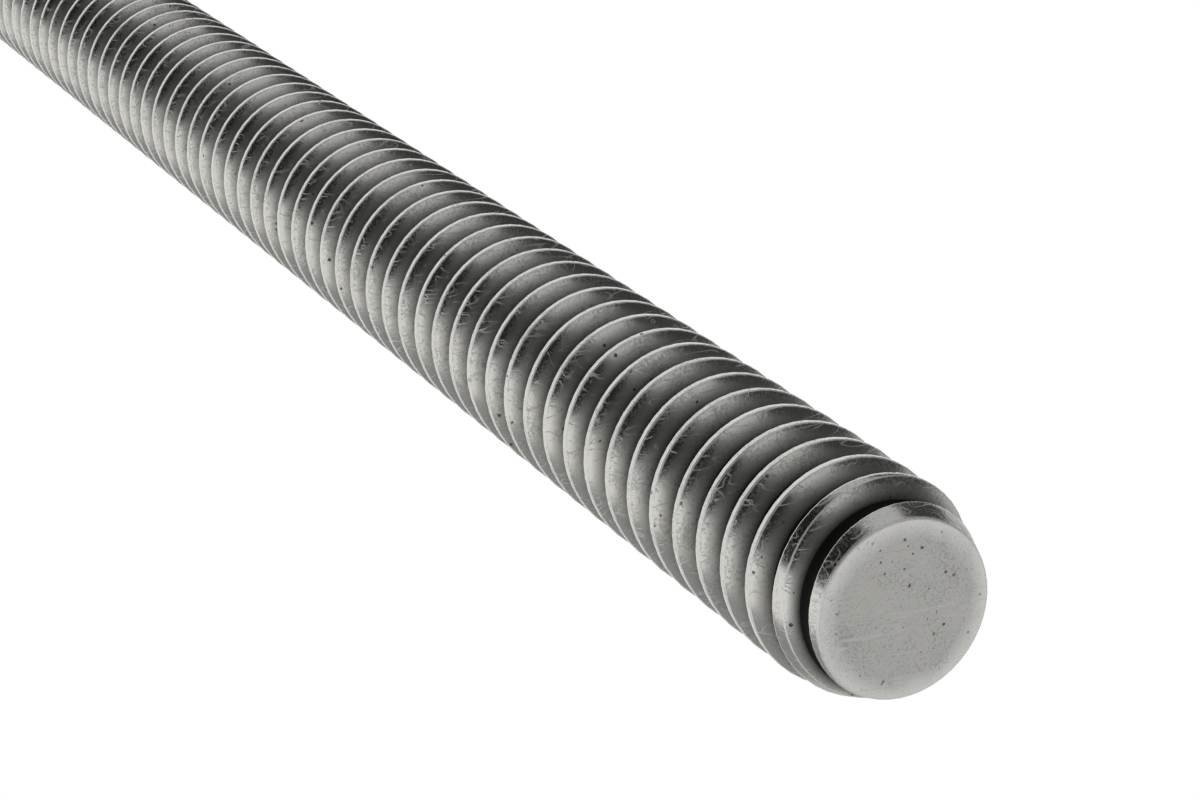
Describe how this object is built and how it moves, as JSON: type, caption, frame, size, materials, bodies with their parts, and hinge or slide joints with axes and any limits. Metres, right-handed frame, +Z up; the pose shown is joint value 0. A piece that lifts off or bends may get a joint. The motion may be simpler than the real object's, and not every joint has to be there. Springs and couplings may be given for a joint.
{
  "type": "threaded rod",
  "caption": "Slender round steel rod with a right-hand screw thread along its whole length and a chamfer at each end.",
  "frame": {"origin": "middle of the rod, on its axis", "axes": "+X along the rod's axis, +Z up as the rod lies level; a right-hand thread advances towards +X as it turns from +Y to +Z"},
  "size_m": [0.1016, 0.0034, 0.0034],
  "materials": {
    "steel": "plain turned steel, dulled, with fine scratches and small dark pits"
  },
  "bodies": {
    "root": {"threaded_rod": "steel"}
  },
  "joints": []
}
